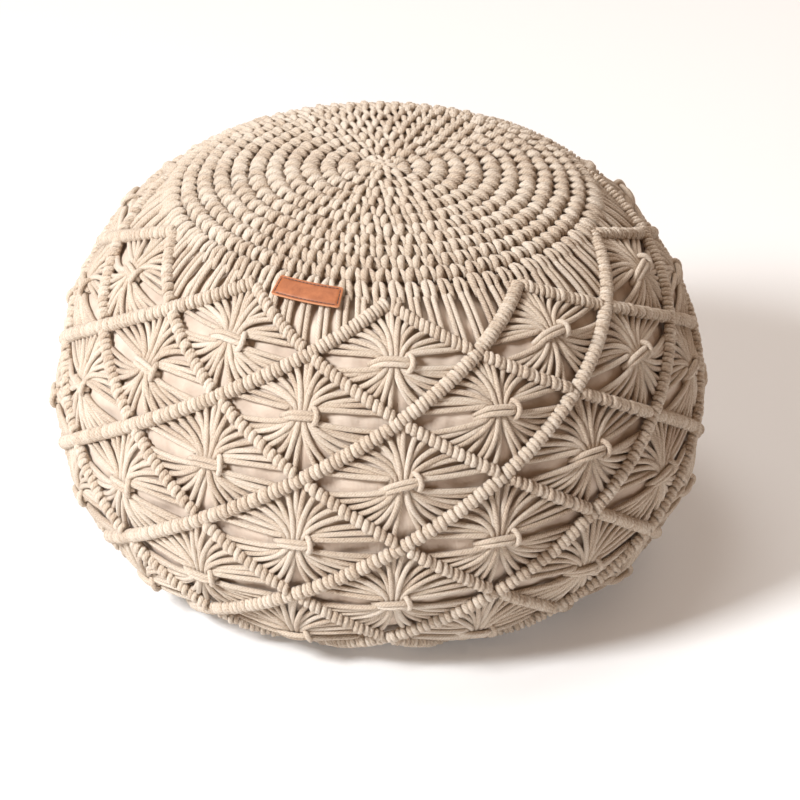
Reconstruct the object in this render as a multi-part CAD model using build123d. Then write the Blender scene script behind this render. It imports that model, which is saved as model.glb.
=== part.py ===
"""Floor cushion: a round stuffed pouf in a hand-knotted cotton net.

Millimetres, +Z up. The origin is on the floor under the middle of the cushion, and
-Y is the front, where the leather label is. Azimuth is measured from the front and
grows towards +X.

The outside is a surface of revolution made of five tangent arcs. A place on it is
given by an azimuth, an arc length down from the pole, and a depth under the surface.
The net covers it in ten repeats: rising ribs that run unbroken, falling ribs that
stop at each rising one, and in every diamond a fan of cords under a square knot.
"""
from build123d import *
from math import atan2, cos, degrees, hypot, pi, radians, sin
import os

# Outside shape
HEIGHT = 340.0
WIDEST_RADIUS = 270.0
FOOT_RADIUS = 175.0
SHOULDER_ARC = 165.0        # radius of the profile's arc between crown and flank
FLANK_ARC = 249.0           # above the widest point
UNDER_ARC = 152.0           # just below the widest point
SLOPES = (0.0, 9.0, 60.0, 90.0, 130.0, 180.0)   # where one arc hands over to the next

# Layers, as depths under the outside surface
GAP = 0.3
NET_DEPTH = 13.0            # net cords live above this depth
CANVAS = 1.2                # lining and base canvas
INNER_BAG = 1.0

# Knotted disc on top
RINGS = 12
RINGS_PER_NODE = 2
FIRST_RING = 16.0           # arc length of the first ring from the pole
RING_PITCH = 14.6
ROPE_RADIUS = 6.0           # a cord wrapped in knots: rings, ribs and hem

# Diamond net
REPEATS = 10
SECTOR = 360.0 / REPEATS
FIRST_AZIMUTH = 1.6         # azimuth of the crossing nearest the front
ROWS = 6                    # rows of knots
DISC_EDGE = 183.0           # arc length of the first crossings
ROW_PITCH = 53.2
ROW_SQUEEZE = 9.0           # the middle rows sit this much higher than even spacing
TWIST = 3.0                 # the middle rows lean this many degrees round
TWIST_ROWS = 6.5
RIB_START = 0.12            # in rows below the disc's edge
RIB_END = 6.95
RIB_BREAK = 10.9            # a falling rib stops this far from a crossing

# Fans, fringe and square knots
CORD_RADIUS = 2.0
FAN_PLACES = (0.2, 0.4, 0.6, 0.8)    # along each rib, from the upper or lower crossing
RIB_CLEARANCE = 9.2         # from a rib's middle to the end of a fan cord
BUNDLE_PITCH = 2.9
BUNDLE_HALF = 9.8           # fan cords start this far above or below the knot's middle
BUNDLE_DEPTHS = (10.4, 6.1)
BUNDLE_BLOCK = (26.0, 14.4)
STRAND_RADIUS = 1.9
STRAND_DEPTH = 1.8
STRAND_LENGTH = 27.0
BIGHT_RADIUS = 4.5
FRINGE_CORDS = 11
FRINGE_STEP = 2.0           # degrees

# Hem and zip, on the underside
HEM_HEIGHT = 5.4            # middle of the hem rope; its bottom is pressed flat
ZIP_HALF = 150.0            # half the length of the chain of teeth
TEETH_INNER = 1.0           # half the gap that the slider's post runs in
TEETH_WIDTH = 2.2
TEETH_THICK = 2.4
TAPE_WIDTH = 13.0
TAPE_THICK = 0.8
MOUTH_HALF = 8.0            # half width of the opening between the base panels
SLIDER_LENGTH = 12.0
SLIDER_WIDTH = 11.0
SLIDER_PLATE = 1.3
SLIDER_GAP = 0.35
SLIDER_X = 138.0            # closed end, where the slider rests
POST_WIDTH = 1.2
BRIDGE_WIDTH = 2.0
BRIDGE_THICK = 1.2
BRIDGE_SPAN = 7.0
PIN_SPACE = 1.6
PULLER_THICK = 1.0
PULLER_LENGTH = 27.0
PULLER_WIDTH = 8.0
ARM_WIDTH = 1.3
STOP_LENGTH = 3.0

# Label
LABEL_SIZE = (55.0, 18.5, 1.6)
LABEL_AZIMUTH = -18.5
LABEL_ARC = 183.5
LABEL_TILT = 2.0
LABEL_STANDOFF = 0.6
STITCH_INSET = 2.0
STITCH_STEP = 3.2
STITCH_LENGTH = 2.2
STITCH_RADIUS = 0.35


def write(shape, node):
    """Write one sub-part to its own STEP file."""
    shape.label = node
    export_step(shape, f"parts/{node}.step")


def group(solids):
    """Several separate solids that share a node."""
    return Compound(children=list(solids))


# ---- the outside surface ----

def profile_arcs():
    """The five arcs as (radius, centre r, centre z, first slope, last slope)."""
    crown = WIDEST_RADIUS - SHOULDER_ARC * (sin(radians(SLOPES[2])) - sin(radians(SLOPES[1])))
    crown = (crown - FLANK_ARC * (1 - sin(radians(SLOPES[2])))) / sin(radians(SLOPES[1]))
    foot = WIDEST_RADIUS - UNDER_ARC * (1 - sin(radians(SLOPES[4]))) - FOOT_RADIUS
    foot = foot / sin(radians(SLOPES[4]))
    arcs = []
    r, z = 0.0, HEIGHT
    for radius, first, last in zip(
        (crown, SHOULDER_ARC, FLANK_ARC, UNDER_ARC, foot), SLOPES[:-1], SLOPES[1:]
    ):
        centre_r = r - radius * sin(radians(first))
        centre_z = z - radius * cos(radians(first))
        arcs.append((radius, centre_r, centre_z, first, last))
        r = centre_r + radius * sin(radians(last))
        z = centre_z + radius * cos(radians(last))
    return arcs


ARCS = profile_arcs()


def profile_point(slope, depth):
    """(r, z) where the surface, sunk by depth, has that slope."""
    for radius, centre_r, centre_z, first, last in ARCS:
        if slope <= last:
            break
    return (
        centre_r + (radius - depth) * sin(radians(slope)),
        centre_z + (radius - depth) * cos(radians(slope)),
    )


def slope_at(arc_length):
    """Slope of the surface at an arc length from the pole."""
    for radius, _, _, first, last in ARCS:
        length = radius * radians(last - first)
        if arc_length <= length:
            return first + degrees(arc_length / radius)
        arc_length -= length
    return SLOPES[-1]


def radius_at(arc_length):
    """Distance of the outside surface from the middle axis at an arc length."""
    return profile_point(slope_at(arc_length), 0)[0]


def on_cover(azimuth, arc_length, depth):
    """Point at an azimuth and arc length, sunk by depth."""
    r, z = profile_point(slope_at(arc_length), depth)
    return Vector(r * sin(radians(azimuth)), -r * cos(radians(azimuth)), z)


def cover_plane(azimuth, arc_length, depth):
    """Plane on the surface: x runs to the right round it, z points outwards."""
    slope = radians(slope_at(arc_length))
    turn = radians(azimuth)
    outward = Vector(sin(slope) * sin(turn), -sin(slope) * cos(turn), cos(slope))
    return Plane(on_cover(azimuth, arc_length, depth), Vector(cos(turn), sin(turn), 0), outward)


def profile_edges(depth, first, last):
    """The profile's arcs from one slope to another, sunk by depth, in the XZ plane."""
    edges = []
    stops = [first] + [s for s in SLOPES if first < s < last] + [last]
    for a, b in zip(stops[:-1], stops[1:]):
        points = [profile_point(s, depth) for s in (a + 1e-6, (a + b) / 2, b)]
        points[0] = edges[-1] @ 1 if edges else Vector(points[0][0], 0, points[0][1])
        middle, end = [Vector(r, 0, z) for r, z in points[1:]]
        edges.append(ThreePointArc(points[0], middle, end))
    return edges


def shell(outer, inner, first, last):
    """Layer between two depths, turned round the middle axis."""
    outside = profile_edges(outer, first, last)
    inside = profile_edges(inner, first, last)
    edges = outside + inside + [Line(outside[-1] @ 1, inside[-1] @ 1)]
    edges.append(Line(outside[0] @ 0, inside[0] @ 0))
    return revolve(make_face(edges), axis=Axis.Z)


# ---- tubes ----

def straight_tube(a, b, radius):
    """Cylinder from a to b."""
    return Plane(a, z_dir=b - a) * Cylinder(radius, (b - a).length, align=FOOT_ALIGN)


FOOT_ALIGN = (Align.CENTER, Align.CENTER, Align.MIN)


def arc_tube(a, tangent, b, radius):
    """Tube along the arc that leaves a along tangent and reaches b."""
    tangent = tangent.normalized()
    chord = b - a
    axis = tangent.cross(chord).normalized()
    inward = axis.cross(tangent)
    bend = chord.dot(chord) / (2 * chord.dot(inward))
    angle = 2 * atan2(chord.dot(inward), chord.dot(tangent))
    section = Plane(a, z_dir=tangent) * Circle(radius)
    return revolve(section, axis=Axis(a + inward * bend, axis), revolution_arc=degrees(angle))


def tube_through(a, middle, b, radius):
    """Tube along the arc through three points."""
    path = ThreePointArc(a, middle, b)
    return arc_tube(a, path % 0, b, radius)


def smooth_tube(points, tangents, radius):
    """One tube through points with given tangents: two tangent arcs to each span."""
    pieces = []
    for a, b, ta, tb in zip(points[:-1], points[1:], tangents[:-1], tangents[1:]):
        chord = b - a
        both = ta + tb
        spread = 2 * (1 - ta.dot(tb))
        reach = -chord.dot(both) + (chord.dot(both) ** 2 + spread * chord.dot(chord)) ** 0.5
        reach = reach / spread
        join = (a + ta * reach + b - tb * reach) / 2
        join_tangent = (b - tb * reach) - (a + ta * reach)
        pieces.append(arc_tube(a, ta, join, radius))
        pieces.append(arc_tube(join, join_tangent, b, radius))
    return pieces[0].fuse(*pieces[1:])


# ---- the net's layout ----

def row_arc(row):
    """Arc length from the pole of a row of crossings; rows count down from the disc's edge."""
    return DISC_EDGE + ROW_PITCH * row - ROW_SQUEEZE * sin(pi * row / (ROWS + 1))


def crossing_azimuth(row, column):
    """Azimuth of a crossing; half steps of column are the crossings of the rows between."""
    return FIRST_AZIMUTH + SECTOR * column + TWIST * sin(pi * row / TWIST_ROWS)


def rib_point(side, number, row, depth=ROPE_RADIUS):
    """Point on a rib at a row: side -1 falls to the left, side +1 falls to the right."""
    return on_cover(crossing_azimuth(row, number + side * row / 2), row_arc(row), depth)


def rib_tangent(side, number, row):
    """Direction of a rib at a row, downwards."""
    step = 0.01
    return (rib_point(side, number, row + step) - rib_point(side, number, row - step)).normalized()


def rising_rib(number):
    """A rib that falls to the left, seen from outside, whole from disc to hem."""
    rows = [RIB_START] + [float(row) for row in range(1, ROWS + 1)] + [RIB_END]
    points = [rib_point(-1, number, row) for row in rows]
    tangents = [rib_tangent(-1, number, row) for row in rows]
    return smooth_tube(points, tangents, ROPE_RADIUS)


def falling_rib(number):
    """A rib that falls to the right, broken where each rising rib crosses it."""
    pieces = []
    for row in range(ROWS + 1):
        length = (rib_point(1, number, row + 1) - rib_point(1, number, row)).length
        share = RIB_BREAK / length
        first = row + (share if row else 2 * share)
        last = min(row + 1 - share, RIB_END)
        a, middle, b = [rib_point(1, number, r) for r in (first, (first + last) / 2, last)]
        pieces.append(tube_through(a, middle, b, ROPE_RADIUS))
    return group(pieces)


def fan_end(row, column, side, place, down):
    """Where a fan cord meets its rib: row is the knot's, down is -1 above it and 1 below."""
    near, far = (-1, 0) if down < 0 else (1, 0)
    corner_row = row + near
    at_row = corner_row + (row + far - corner_row) * place
    reach = abs(at_row - corner_row) / 2
    azimuth = crossing_azimuth(at_row, column + side * reach)
    arc = row_arc(at_row)
    across = radius_at(arc) * radians(SECTOR / 2)
    along = ROW_PITCH
    slant = hypot(across, along)
    azimuth -= side * degrees(RIB_CLEARANCE * along / slant / radius_at(arc))
    return on_cover(azimuth, arc - down * RIB_CLEARANCE * across / slant, ROPE_RADIUS)


def fan(row, column):
    """The cords of one diamond, above and below its knot, as separate tubes."""
    azimuth = crossing_azimuth(row, column)
    arc = row_arc(row)
    ends = [(-1, p) for p in reversed(FAN_PLACES)] + [(1, p) for p in FAN_PLACES]
    cords = []
    for down in (-1, 1):
        for index, (side, place) in enumerate(ends):
            offset = (index - (len(ends) - 1) / 2) * BUNDLE_PITCH
            start = on_cover(
                azimuth + degrees(offset / radius_at(arc)),
                arc + down * BUNDLE_HALF,
                BUNDLE_DEPTHS[index % 2],
            )
            end = fan_end(row, column, side, place, down)
            cords.append(straight_tube(start, end, CORD_RADIUS))
    return cords


def square_knot(row, column):
    """A gathered bundle, two strands across it and the bight at the right end."""
    azimuth = crossing_azimuth(row, column)
    arc = row_arc(row)
    top = min(BUNDLE_DEPTHS) - CORD_RADIUS
    thick = NET_DEPTH - GAP - top
    block = Box(*BUNDLE_BLOCK, thick, align=(Align.CENTER, Align.CENTER, Align.MAX))
    block = fillet(block.edges(), thick / 2 - 0.3)
    face = cover_plane(azimuth, arc, STRAND_DEPTH)
    strand = Rot(0, 90, 0) * Cylinder(STRAND_RADIUS, STRAND_LENGTH)
    solids = [cover_plane(azimuth, arc, top) * block]
    for lift in (-1, 1):
        solids.append(face * Pos(-4, lift * (STRAND_RADIUS + GAP / 2), 0) * strand)
    bight_x = STRAND_LENGTH / 2 - 4 + BIGHT_RADIUS + STRAND_RADIUS + GAP
    solids.append(face * Pos(bight_x, 0, 0) * Torus(BIGHT_RADIUS, STRAND_RADIUS))
    return solids


def fringe(column):
    """Cords that hang from the disc's edge to the first ribs, in one sector."""
    cords = []
    for index in range(FRINGE_CORDS):
        turn = (index - (FRINGE_CORDS - 1) / 2) * FRINGE_STEP
        row = 1 - abs(turn) / (SECTOR / 2)
        azimuth = crossing_azimuth(row / 2, column + 0.5) + turn
        end = row_arc(row) - 1.4 * RIB_CLEARANCE
        top = FIRST_RING + RING_PITCH * (RINGS - 1) + ROPE_RADIUS + GAP + CORD_RADIUS
        a = on_cover(azimuth, top, ROPE_RADIUS)
        middle = on_cover(azimuth, (top + end) / 2, ROPE_RADIUS)
        cords.append(tube_through(a, middle, on_cover(azimuth, end, ROPE_RADIUS), CORD_RADIUS))
    return cords


# ---- sewn parts ----

def knotted_ring(number):
    """One ring of the disc on top, counted from the middle."""
    r, z = profile_point(slope_at(FIRST_RING + RING_PITCH * number), ROPE_RADIUS)
    return Pos(0, 0, z) * Torus(r, ROPE_RADIUS)


def hem_ring():
    """Rope round the foot, pressed flat where it stands on the floor."""
    rope = Pos(0, 0, HEM_HEIGHT) * Torus(FOOT_RADIUS, ROPE_RADIUS)
    floor = Box(4 * FOOT_RADIUS, 4 * FOOT_RADIUS, ROPE_RADIUS, align=FLOOR_ALIGN)
    return rope - floor


FLOOR_ALIGN = (Align.CENTER, Align.CENTER, Align.MAX)


def base_panel(side):
    """Half of the base canvas, with half of the zip's mouth cut from its edge."""
    disc = Cylinder(FOOT_RADIUS - GAP, CANVAS, align=FOOT_ALIGN)
    half = Box(4 * FOOT_RADIUS, 2 * FOOT_RADIUS, 4 * CANVAS)
    disc -= Pos(0, side * (GAP / 2 - FOOT_RADIUS), 0) * half
    disc -= Box(2 * ZIP_HALF + 16, 2 * MOUTH_HALF, 4 * CANVAS)
    return Pos(0, 0, NET_DEPTH) * disc


def zip_tape(side):
    """Woven tape beside the teeth, sewn to the base panel's edge."""
    width = TAPE_WIDTH
    y = side * (TEETH_INNER + TEETH_WIDTH + width / 2)
    return Pos(0, y, NET_DEPTH - GAP - TAPE_THICK / 2) * Box(2 * ZIP_HALF + 20, width, TAPE_THICK)


def zip_teeth(side):
    """One side of the coil, as a plain strip."""
    y = side * (TEETH_INNER + TEETH_WIDTH / 2)
    z = NET_DEPTH - GAP - TEETH_THICK / 2
    return Pos(0, y, z) * Box(2 * ZIP_HALF, TEETH_WIDTH, TEETH_THICK)


def zip_stops():
    """Metal stops crimped across both ends of the chain."""
    width = 2 * (TEETH_INNER + TEETH_WIDTH)
    z = NET_DEPTH - GAP - TEETH_THICK / 2
    stop = Box(STOP_LENGTH, width, TEETH_THICK)
    x = ZIP_HALF + STOP_LENGTH / 2 + GAP
    return group([Pos(side * x, 0, z) * stop for side in (-1, 1)])


CHAIN_TOP = NET_DEPTH - GAP
CHAIN_BOTTOM = CHAIN_TOP - TEETH_THICK
PLATE_TOP = CHAIN_BOTTOM - SLIDER_GAP
PIN_Z = PLATE_TOP - SLIDER_PLATE - PIN_SPACE / 2


def zip_slider():
    """Two plates joined by a post, with a bridge under them for the puller."""
    plate = Box(SLIDER_LENGTH, SLIDER_WIDTH, SLIDER_PLATE)
    plate = fillet(plate.edges().filter_by(Axis.Z), 2.5)
    lower_z = PLATE_TOP - SLIDER_PLATE / 2
    upper_z = CHAIN_TOP + SLIDER_GAP + SLIDER_PLATE / 2
    body = Pos(0, 0, lower_z) * plate + Pos(0, 0, upper_z) * plate
    body += Pos(0, 0, (lower_z + upper_z) / 2) * Box(5, POST_WIDTH, upper_z - lower_z)
    bar_z = PIN_Z - PIN_SPACE / 2 - BRIDGE_THICK / 2
    body += Pos(0, 0, bar_z) * Box(BRIDGE_SPAN, BRIDGE_WIDTH, BRIDGE_THICK)
    leg = Box(BRIDGE_THICK, BRIDGE_WIDTH, PIN_SPACE + 2 * BRIDGE_THICK)
    for side in (-1, 1):
        body += Pos(side * (BRIDGE_SPAN - BRIDGE_THICK) / 2, 0, PIN_Z) * leg
    return Pos(SLIDER_X, 0, 0) * body


def zip_puller():
    """Pull tab on a cross pin under the slider's bridge, lying along the zip."""
    pin = Rot(90, 0, 0) * Cylinder(PULLER_THICK / 2, BRIDGE_WIDTH + 2 * (ARM_WIDTH + GAP))
    reach = BRIDGE_SPAN / 2 + 2
    tab = Box(PULLER_LENGTH - reach, PULLER_WIDTH, PULLER_THICK)
    tab = fillet(tab.edges().filter_by(Axis.Z), 2.5)
    puller = pin + Pos((reach + PULLER_LENGTH) / 2, 0, 0) * tab
    for side in (-1, 1):
        y = side * (BRIDGE_WIDTH / 2 + GAP + ARM_WIDTH / 2)
        puller += Pos(reach / 2 + 1, y, 0) * Box(reach + 2, ARM_WIDTH, PULLER_THICK)
    return Pos(SLIDER_X, 0, PIN_Z) * puller


def label_plane():
    """Plane of the label's inner face."""
    return cover_plane(LABEL_AZIMUTH, LABEL_ARC, -LABEL_STANDOFF) * Rot(0, 0, -LABEL_TILT)


def leather_label():
    """Small rectangular leather label with rounded corners."""
    plate = Box(*LABEL_SIZE, align=FOOT_ALIGN)
    return label_plane() * fillet(plate.edges().filter_by(Axis.Z), 2.0)


def label_stitching():
    """Border of small stitches that lie on the label's face."""
    half_x = LABEL_SIZE[0] / 2 - STITCH_INSET
    half_y = LABEL_SIZE[1] / 2 - STITCH_INSET
    lift = LABEL_SIZE[2] + STITCH_RADIUS + 0.05
    places = []
    for half, other, turned in ((half_x, half_y, False), (half_y, half_x, True)):
        count = int(2 * half / STITCH_STEP)
        for index in range(count):
            along = (index - (count - 1) / 2) * STITCH_STEP
            for side in (-1, 1):
                spot = (side * other, along) if turned else (along, side * other)
                places.append((spot, turned))
    stitch = Cylinder(STITCH_RADIUS, STITCH_LENGTH)
    flat, upright = Rot(0, 90, 0) * stitch, Rot(90, 0, 0) * stitch
    plane = label_plane()
    return group(
        [plane * Pos(*spot, lift) * (upright if turned else flat) for spot, turned in places]
    )


def build():
    """Make every sub-part and write it."""
    bag_outer = NET_DEPTH + CANVAS + GAP
    stuffing = bag_outer + INNER_BAG + GAP
    seam = slope_at(DISC_EDGE)
    edges = profile_edges(stuffing, 0, 180)
    top, bottom = edges[0] @ 0, edges[-1] @ 1
    edges += [Line(bottom, (0, 0, stuffing)), Line((0, 0, stuffing), top)]
    write(revolve(make_face(edges), axis=Axis.Z), "filling")
    write(shell(bag_outer, bag_outer + INNER_BAG, 0, 90), "inner_bag_top")
    floor = Pos(0, 0, bag_outer) * Cylinder(FOOT_RADIUS, INNER_BAG, align=FOOT_ALIGN)
    under = shell(bag_outer, bag_outer + INNER_BAG, 90.1, 180)
    write(under.fuse(floor), "inner_bag_bottom")

    write(shell(NET_DEPTH, NET_DEPTH + CANVAS, 0, seam), "lining_top")
    write(shell(NET_DEPTH, NET_DEPTH + CANVAS, seam + 0.1, 180), "lining_side")
    for side, word in ((-1, "front"), (1, "back")):
        write(base_panel(side), f"base_panel_{word}")
        write(zip_tape(side), f"zip_tape_{word}")
        write(zip_teeth(side), f"zip_teeth_{word}")
    write(zip_stops(), "zip_stops")
    write(zip_slider(), "zip_slider")
    write(zip_puller(), "zip_puller")

    write(Pos(0, 0, HEIGHT - ROPE_RADIUS) * Sphere(ROPE_RADIUS), "centre_knot")
    for first in range(0, RINGS, RINGS_PER_NODE):
        rings = [knotted_ring(first + n) for n in range(RINGS_PER_NODE)]
        write(group(rings), f"knotted_rings_{first + 1:02}_{first + RINGS_PER_NODE:02}")

    for number in range(REPEATS):
        write(rising_rib(number), f"rising_rib_{number + 1:02}")
        write(falling_rib(number), f"falling_rib_{number + 1:02}")
    write(group([c for n in range(REPEATS) for c in fringe(n)]), "fringe_cords")
    for row in range(1, ROWS + 1):
        columns = [n + (row - 1) / 2 for n in range(REPEATS)]
        write(group([c for n in columns for c in fan(row, n)]), f"fan_cords_row_{row}")
        write(group([s for n in columns for s in square_knot(row, n)]), f"square_knots_row_{row}")

    write(hem_ring(), "hem_ring")
    write(leather_label(), "leather_label")
    write(label_stitching(), "label_stitching")


os.makedirs("parts", exist_ok=True)
build()
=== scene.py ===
import math

import bpy
import numpy as np
from mathutils import Matrix, Vector


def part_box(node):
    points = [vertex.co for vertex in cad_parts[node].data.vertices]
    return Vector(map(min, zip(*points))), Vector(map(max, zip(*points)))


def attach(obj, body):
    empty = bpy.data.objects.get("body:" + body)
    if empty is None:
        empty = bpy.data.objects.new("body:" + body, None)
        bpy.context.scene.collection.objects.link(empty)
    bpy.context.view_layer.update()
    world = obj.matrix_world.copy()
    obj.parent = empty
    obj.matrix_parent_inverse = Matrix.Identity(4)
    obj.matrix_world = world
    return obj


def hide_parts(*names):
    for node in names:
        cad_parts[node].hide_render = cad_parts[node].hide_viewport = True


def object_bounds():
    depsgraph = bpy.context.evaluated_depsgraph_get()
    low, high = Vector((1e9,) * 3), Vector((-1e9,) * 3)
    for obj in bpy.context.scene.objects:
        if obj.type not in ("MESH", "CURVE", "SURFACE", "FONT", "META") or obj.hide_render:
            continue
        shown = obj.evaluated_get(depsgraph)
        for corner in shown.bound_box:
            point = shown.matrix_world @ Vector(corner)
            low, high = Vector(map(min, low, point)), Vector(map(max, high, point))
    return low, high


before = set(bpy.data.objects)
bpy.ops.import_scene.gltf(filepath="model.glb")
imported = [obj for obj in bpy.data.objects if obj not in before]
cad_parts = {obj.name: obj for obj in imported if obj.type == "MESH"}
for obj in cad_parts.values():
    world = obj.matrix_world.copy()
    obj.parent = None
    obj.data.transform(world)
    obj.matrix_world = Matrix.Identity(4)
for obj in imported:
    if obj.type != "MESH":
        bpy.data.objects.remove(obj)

# The looks of a round stuffed floor cushion in a hand-knotted cotton net.
# Sizes are in millimetres and turned into metres where a mesh is made. Azimuth is in
# radians from the front (-Y), growing towards +X. An arc length runs down the outside
# from the pole, and a height is measured outwards from the outside surface.

CAD_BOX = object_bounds()
MM = 0.001
TURN = 2 * math.pi
chance = np.random.default_rng(34)

# ---- driving sizes, as in the part ----
HEIGHT = CAD_BOX[1].z / MM
WIDEST_RADIUS = 270.0
FOOT_RADIUS = 175.0
SHOULDER_ARC = 165.0
FLANK_ARC = 249.0
UNDER_ARC = 152.0
SLOPES = np.radians([0.0, 9.0, 60.0, 90.0, 130.0, 180.0])
NET_DEPTH = 13.0
RINGS = 12
FIRST_RING = 16.0
RING_PITCH = 14.6
ROPE_RADIUS = 6.0
REPEATS = 10
SECTOR = TURN / REPEATS
FIRST_AZIMUTH = math.radians(1.6)
ROWS = 6
DISC_EDGE = 183.0
ROW_PITCH = 53.2
ROW_SQUEEZE = 9.0
TWIST = math.radians(3.0)
TWIST_ROWS = 6.5
RIB_START = 0.0
RIB_END = 6.98

# ---- the cords ----
CORD_RADIUS = 2.25
CORDS_PER_EDGE = 8
RISING_HITCHES = 20
FALLING_HITCHES = 16
STITCH_PITCH = 12.4
DISC_SHIFT = 7.0
PAIR_CLOSENESS = 0.07
# Depths in the net where the painted brown shade starts and where it is full.
PAINTED_SHADE_FROM = 5.5
PAINTED_SHADE_TO = 11.5
HITCH_ANGLES = (-25, 205)
# A fan's cords above (-1) and below (1) its knot: where they leave the ribs on the left and
# on the right, as shares of an edge, and how far sideways and along each curve is drawn out.
FAN_PLACES = {
    -1: ((0.88, 0.05), (0.05, 0.88)),
    1: ((0.78, 0.09), (0.17, 0.82)),
}
FAN_BOW = {-1: (0.12, 0.68), 1: (0.28, 0.55)}
# Heights of a fan's cords at the ribs and half way, and their bundle under the knot.
FAN_SEAT = -9.0
FAN_RISE = 1.6
BUNDLE_PITCH = 1.3
BUNDLE_HEIGHTS = (-4.2, -7.8, -6.0)
BUNDLE_HALF = 4.5
# The knot's upper strand, lower strand and bight.
KNOT_STRANDS = (
    [
        (-19, 2.6, -8), (-15, 0.6, -4.2), (-9, -1.5, -0.9), (0, -2.2, 0.2),
        (7, -1.9, 0), (11, -1.0, -1.6), (14, 0.6, -6),
    ],
    [
        (-18, 6.4, -8), (-14, 4.0, -4.4), (-8, 2.3, -0.9), (0, 1.9, 0.4),
        (7, 2.0, 0.1), (11, 1.5, -1.8), (14, 0.6, -6.5),
    ],
    [
        (8, -6.6, -7), (11, -6.2, -1.9), (13, -3.4, 1.0), (13.6, 0.1, 1.6),
        (13, 3.6, 0.9), (11, 6.4, -1.9), (8, 6.8, -7),
    ],
)
FRINGE_START = -5.0
FRINGE_END = -8.8

# ---- the lining, the base, the zip and the label ----
PANEL_BULGE = 5.0
RIB_LEAN = math.radians(33)
HELD_BY_RIB = 4.5
PUFF_MOST = 4.5
LINING_GRID = (232, 100)
FOOT_ROWS = (0.985, 0.85, 0.6, 0.35, 0.1)
PUFF_FRAMES = 20
PUFF_CLOTH = {
    "quality": 5,
    "mass": 0.35,
    "tension_stiffness": 12,
    "compression_stiffness": 12,
    "shear_stiffness": 6,
    "bending_stiffness": 0.4,
    "shrink_min": -0.05,
    "use_pressure": True,
    "uniform_pressure_force": 4,
}
# The zip's mouth in the base: half its width, half its length, and the flat cloth beside it.
MOUTH_HALF = 8.0
MOUTH_END = 158.0
TAPE_CLEAR = 17
BASE_CLOTH = 1.2
COIL_PITCH = 2.5
TAPE_STITCH = 3.6
LABEL_HALF = (27.5, 9.25)
LABEL_THICK = 1.6
LABEL_AZIMUTH = math.radians(-18.5)
LABEL_ARC = 183.5
LABEL_TILT = math.radians(2.0)
LABEL_STANDOFF = 0.6
LABEL_CORNER = 2.0
STITCH_INSET = 2.0
STITCH_STEP = 3.2


# ---- the outside surface ----

def profile_arcs():
    """Radius and centre (r, z) of the five tangent arcs, from the pole to the foot.

    Each arc starts where the last one ends, with its centre along the inward normal."""
    sine = np.sin(SLOPES)
    crown = WIDEST_RADIUS - SHOULDER_ARC * (sine[2] - sine[1]) - FLANK_ARC * (1 - sine[2])
    foot = WIDEST_RADIUS - UNDER_ARC * (1 - sine[4]) - FOOT_RADIUS
    radii = np.array([crown / sine[1], SHOULDER_ARC, FLANK_ARC, UNDER_ARC, foot / sine[4]])
    centres = []
    r, z = 0.0, HEIGHT
    for radius, first, last in zip(radii, SLOPES[:-1], SLOPES[1:]):
        centre = (r - radius * math.sin(first), z - radius * math.cos(first))
        centres.append(centre)
        r = centre[0] + radius * math.sin(last)
        z = centre[1] + radius * math.cos(last)
    return radii, np.array(centres)


ARC_RADII, ARC_CENTRES = profile_arcs()
ARC_STARTS = np.concatenate([[0.0], np.cumsum(ARC_RADII * np.diff(SLOPES))])
WHOLE_ARC = ARC_STARTS[-1]


def slope_at(arc):
    """Slope of the surface: it grows evenly with arc length inside each arc."""
    return np.interp(arc, ARC_STARTS, SLOPES)


def radius_at(arc, height=0.0):
    """Distance from the middle axis."""
    piece = np.clip(np.searchsorted(ARC_STARTS, arc, side="right") - 1, 0, len(ARC_RADII) - 1)
    return ARC_CENTRES[piece, 0] + (ARC_RADII[piece] + height) * np.sin(slope_at(arc))


def surface(azimuth, arc, height=0.0):
    """Points at an azimuth, arc length and height: the arc's centre plus its radius and the
    height along the outward normal, turned round the middle axis."""
    azimuth, arc, height = np.broadcast_arrays(azimuth, arc, height)
    piece = np.clip(np.searchsorted(ARC_STARTS, arc, side="right") - 1, 0, len(ARC_RADII) - 1)
    reach = ARC_RADII[piece] + height
    r = ARC_CENTRES[piece, 0] + reach * np.sin(slope_at(arc))
    z = ARC_CENTRES[piece, 1] + reach * np.cos(slope_at(arc))
    return np.stack([r * np.sin(azimuth), -r * np.cos(azimuth), z], -1)


def outward(azimuth, arc):
    """Unit normals of the surface."""
    azimuth, slope = np.broadcast_arrays(azimuth, slope_at(arc))
    side = np.sin(slope)
    return np.stack([side * np.sin(azimuth), -side * np.cos(azimuth), np.cos(slope)], -1)


def downward(azimuth, arc):
    """Unit tangents that point down the profile."""
    azimuth, slope = np.broadcast_arrays(azimuth, slope_at(arc))
    side = np.cos(slope)
    return np.stack([side * np.sin(azimuth), -side * np.cos(azimuth), -np.sin(slope)], -1)


def rightward(azimuth, arc):
    """Unit tangents that point round the axis, to the right as seen from outside."""
    azimuth, _ = np.broadcast_arrays(azimuth, arc)
    return np.stack([np.cos(azimuth), np.sin(azimuth), np.zeros_like(azimuth)], -1)


def depth_under(points):
    """How far points lie under the outside surface: each is tried against every arc, by the
    slope of the line from the arc's centre, and the arc that spans that slope is used."""
    r, z = np.hypot(points[:, 0], points[:, 1]), points[:, 2]
    depth = np.zeros(len(points))
    arcs = zip(ARC_CENTRES, ARC_RADII, SLOPES[:-1], SLOPES[1:])
    for (centre_r, centre_z), radius, first, last in arcs:
        slope = np.arctan2(r - centre_r, z - centre_z)
        inside = (slope >= first) & (slope <= last)
        depth = np.where(inside, radius - np.hypot(r - centre_r, z - centre_z), depth)
    return depth


# ---- the net's layout ----

def row_arc(row):
    """Arc length of a row of crossings, counted down from the disc's edge."""
    return DISC_EDGE + ROW_PITCH * row - ROW_SQUEEZE * np.sin(math.pi * row / (ROWS + 1))


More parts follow.
